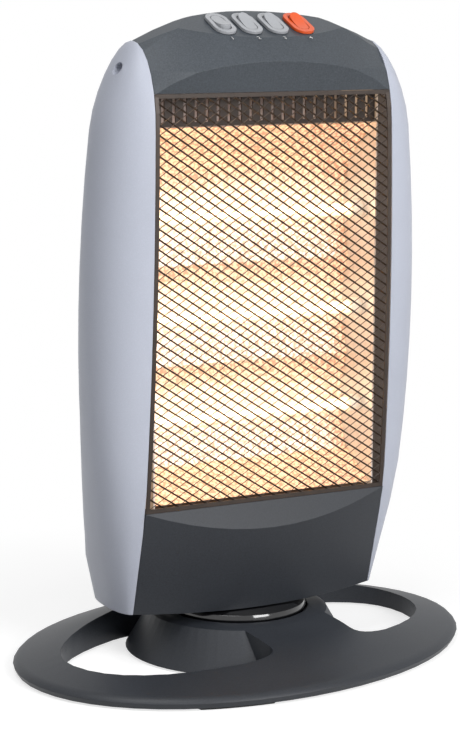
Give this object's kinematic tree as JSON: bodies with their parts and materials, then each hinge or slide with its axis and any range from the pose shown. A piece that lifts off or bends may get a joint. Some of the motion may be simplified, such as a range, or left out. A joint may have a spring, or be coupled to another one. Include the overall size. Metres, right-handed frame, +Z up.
{
  "type": "halogen heater",
  "caption": "Free-standing radiant halogen heater with a swinging head, quartz lamps behind a mesh guard and an oval foot.",
  "frame": {"origin": "centre of the oval foot's outline on the floor, under the rubber feet", "axes": "+Z up, -Y the side the foot faces to the front, +X to the right of someone who faces the front; the head is stored swung 11 degrees clockwise seen from above"},
  "size_m": [0.38, 0.274, 0.4841],
  "materials": {
    "charcoal_plastic": "satin",
    "dark_grey_plastic": "satin",
    "silver_plastic": "satin metallic",
    "gloss_black_plastic": "gloss",
    "guard_paint": "dark brown enamel",
    "bright_aluminium": "bright embossed",
    "zinc_steel": "zinc plated",
    "quartz": "clear",
    "hot_tungsten": "glowing",
    "steatite": "matte",
    "grey_key_plastic": "satin",
    "orange_key_plastic": "satin",
    "black_rubber": "matte",
    "white_plastic": "matte"
  },
  "bodies": {
    "foot": {"foot_shell": "charcoal_plastic", "rubber_foot_1": "black_rubber", "rubber_foot_2": "black_rubber", "rubber_foot_3": "black_rubber", "rubber_foot_4": "black_rubber", "hub_bottom_plate": "zinc_steel", "swivel_washer": "white_plastic", "swing_motor": "zinc_steel", "tip_switch": "black_rubber"},
    "head": {"swivel_disc": "gloss_black_plastic", "drive_arm": "zinc_steel", "left_side_panel": "silver_plastic", "right_side_panel": "silver_plastic", "left_panel_screw": "zinc_steel", "right_panel_screw": "zinc_steel", "top_cap": "dark_grey_plastic", "lower_front_cover": "charcoal_plastic", "rear_cover": "charcoal_plastic", "bottom_cover": "charcoal_plastic", "cord_gland": "black_rubber", "switch_housing_1": "grey_key_plastic", "switch_housing_2": "grey_key_plastic", "switch_housing_3": "grey_key_plastic", "switch_housing_4": "orange_key_plastic", "front_guard": "guard_paint", "reflector": "bright_aluminium", "heat_baffle": "guard_paint", "heat_shield": "zinc_steel", "thermal_cutout": "white_plastic", "terminal_block": "white_plastic", "left_lamp_bracket": "zinc_steel", "right_lamp_bracket": "zinc_steel", "bottom_quartz_tube": "quartz", "middle_quartz_tube": "quartz", "top_quartz_tube": "quartz", "bottom_filament": "hot_tungsten", "middle_filament": "hot_tungsten", "top_filament": "hot_tungsten", "bottom_left_end_cap": "steatite", "bottom_right_end_cap": "steatite", "middle_left_end_cap": "steatite", "middle_right_end_cap": "steatite", "top_left_end_cap": "steatite", "top_right_end_cap": "steatite"},
    "crank": {"crank": "zinc_steel"},
    "plunger": {"tip_switch_plunger": "white_plastic"},
    "key_1": {"rocker_1": "grey_key_plastic"},
    "key_2": {"rocker_2": "grey_key_plastic"},
    "key_3": {"rocker_3": "grey_key_plastic"},
    "key_4": {"rocker_4": "orange_key_plastic"}
  },
  "joints": [
    {"name": "head_swing", "type": "hinge", "parent": "foot", "child": "head", "pos_m": [0, 0.005, 0.03], "axis": [0, 0, 1], "range_deg": [-24, 46]},
    {"name": "crank_turn", "type": "hinge", "parent": "foot", "child": "crank", "pos_m": [0, 0.037, 0.018], "axis": [0, 0, 1], "range_deg": [-80.1, 153.5]},
    {"name": "plunger_slide", "type": "slide", "parent": "foot", "child": "plunger", "axis": [0, 0, 1], "range_m": [-0.0035, 0]},
    {"name": "key_1_rock", "type": "hinge", "parent": "head", "child": "key_1", "pos_m": [-0.03749, -0.01726, 0.47407], "axis": [0.9816, -0.1908, 0], "range_deg": [0, 18]},
    {"name": "key_2_rock", "type": "hinge", "parent": "head", "child": "key_2", "pos_m": [-0.01618, -0.0214, 0.47407], "axis": [0.9816, -0.1908, 0], "range_deg": [-18, 0]},
    {"name": "key_3_rock", "type": "hinge", "parent": "head", "child": "key_3", "pos_m": [0.00512, -0.02554, 0.47407], "axis": [0.9816, -0.1908, 0], "range_deg": [-18, 0]},
    {"name": "key_4_rock", "type": "hinge", "parent": "head", "child": "key_4", "pos_m": [0.02642, -0.02968, 0.47407], "axis": [0.9816, -0.1908, 0], "range_deg": [-18, 0]}
  ],
  "couplings": [
    {"joint": "crank_turn", "follows": "head_swing", "ratio": 3.3333}
  ]
}
